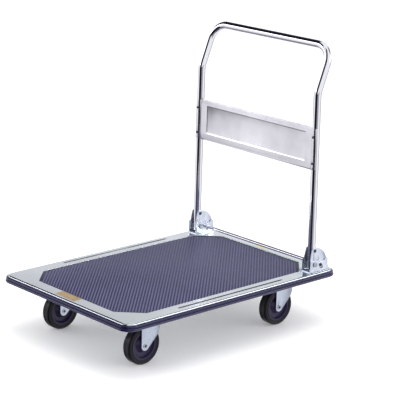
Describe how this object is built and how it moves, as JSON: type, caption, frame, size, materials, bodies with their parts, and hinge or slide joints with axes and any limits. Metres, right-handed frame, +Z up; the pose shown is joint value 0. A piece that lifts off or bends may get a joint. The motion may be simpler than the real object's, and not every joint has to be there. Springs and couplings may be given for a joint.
{
  "type": "folding platform cart",
  "caption": "Flatbed hand cart: steel deck with a studded mat and soft bumper, a folding tube handle with a pressed panel, and fixed and swivel casters.",
  "frame": {"origin": "on the floor, under the centre of the bumper's outline", "axes": "+Z up, +Y towards the handle end along the deck's length, +X to the right seen from behind the handle"},
  "size_m": [0.64, 0.916, 0.9435],
  "materials": {
    "deck_steel": "bright zinc plate",
    "mat_vinyl": "matt, fine studs",
    "bumper_vinyl": "glossy soft vinyl",
    "label_amber": "plain film",
    "label_yellow": "plain film",
    "tyre_rubber": "satin",
    "core_plastic": "satin",
    "cap_plastic": "satin",
    "chromed_tube": "polished",
    "panel_steel": "satin",
    "frame_steel": "zinc plate",
    "bracket_steel": "bright zinc plate",
    "caster_steel": "bright zinc plate",
    "spring_steel": "satin",
    "dark_steel": "dark oxide",
    "fastener_steel": "zinc plate"
  },
  "bodies": {
    "deck": {"deck_pan": "deck_steel", "deck_mat": "mat_vinyl", "bumper": "bumper_vinyl", "label_front": "label_amber", "label_rear": "label_yellow", "caster_channel_front": "frame_steel", "caster_channel_rear": "frame_steel", "stiffener_left": "frame_steel", "stiffener_right": "frame_steel", "hinge_bracket_left": "bracket_steel", "hinge_bracket_right": "bracket_steel", "bracket_bolts": "fastener_steel", "bracket_nuts": "fastener_steel", "pivot_bolts": "fastener_steel", "pivot_nuts": "fastener_steel", "release_spring_left": "spring_steel", "release_spring_right": "spring_steel", "caster_bolts": "fastener_steel", "caster_nuts": "fastener_steel", "rigid_fork_left": "caster_steel", "rigid_fork_right": "caster_steel", "axle_front_left": "fastener_steel", "axle_front_right": "fastener_steel", "swivel_plate_left": "caster_steel", "swivel_plate_right": "caster_steel", "swivel_balls_left": "spring_steel", "swivel_balls_right": "spring_steel", "king_pin_left": "fastener_steel", "king_pin_right": "fastener_steel"},
    "handle": {"handle_tube": "chromed_tube", "handle_panel": "panel_steel", "panel_rivets": "dark_steel", "pivot_bushes": "fastener_steel", "cam_plate_left_inner": "bracket_steel", "cam_plate_left_outer": "bracket_steel", "cam_plate_right_inner": "bracket_steel", "cam_plate_right_outer": "bracket_steel", "cam_rivets": "dark_steel"},
    "release": {"release_bar": "chromed_tube", "release_bar_caps": "cap_plastic"},
    "swivel_left": {"swivel_fork_left": "caster_steel", "axle_rear_left": "fastener_steel"},
    "swivel_right": {"swivel_fork_right": "caster_steel", "axle_rear_right": "fastener_steel"},
    "wheel_front_left": {"tyre_front_left": "tyre_rubber", "wheel_core_front_left": "core_plastic", "wheel_bush_front_left": "fastener_steel"},
    "wheel_front_right": {"tyre_front_right": "tyre_rubber", "wheel_core_front_right": "core_plastic", "wheel_bush_front_right": "fastener_steel"},
    "wheel_rear_left": {"tyre_rear_left": "tyre_rubber", "wheel_core_rear_left": "core_plastic", "wheel_bush_rear_left": "fastener_steel"},
    "wheel_rear_right": {"tyre_rear_right": "tyre_rubber", "wheel_core_rear_right": "core_plastic", "wheel_bush_rear_right": "fastener_steel"}
  },
  "joints": [
    {"name": "handle_fold", "type": "hinge", "parent": "deck", "child": "handle", "pos_m": [0, 0.364, 0.213], "axis": [1, 0, 0], "range_deg": [0, 90]},
    {"name": "release_press", "type": "slide", "parent": "deck", "child": "release", "axis": [0, 0.5549, -0.8319], "range_m": [0, 0.01], "stiffness_N_per_m": 2000, "springref_m": -0.003, "deforming": ["release_spring_left", "release_spring_right"]},
    {"name": "swivel_left_turn", "type": "hinge", "parent": "deck", "child": "swivel_left", "pos_m": [-0.2045, 0.3168, 0.15], "axis": [0, 0, 1], "continuous": true},
    {"name": "swivel_right_turn", "type": "hinge", "parent": "deck", "child": "swivel_right", "pos_m": [0.2045, 0.3168, 0.15], "axis": [0, 0, 1], "continuous": true},
    {"name": "wheel_front_left_spin", "type": "hinge", "parent": "deck", "child": "wheel_front_left", "pos_m": [-0.2045, -0.3024, 0.0625], "axis": [1, 0, 0], "continuous": true},
    {"name": "wheel_front_right_spin", "type": "hinge", "parent": "deck", "child": "wheel_front_right", "pos_m": [0.2045, -0.3024, 0.0625], "axis": [1, 0, 0], "continuous": true},
    {"name": "wheel_rear_left_spin", "type": "hinge", "parent": "swivel_left", "child": "wheel_rear_left", "pos_m": [-0.2045, 0.2808, 0.0625], "axis": [1, 0, 0], "continuous": true},
    {"name": "wheel_rear_right_spin", "type": "hinge", "parent": "swivel_right", "child": "wheel_rear_right", "pos_m": [0.2045, 0.2808, 0.0625], "axis": [1, 0, 0], "continuous": true}
  ]
}
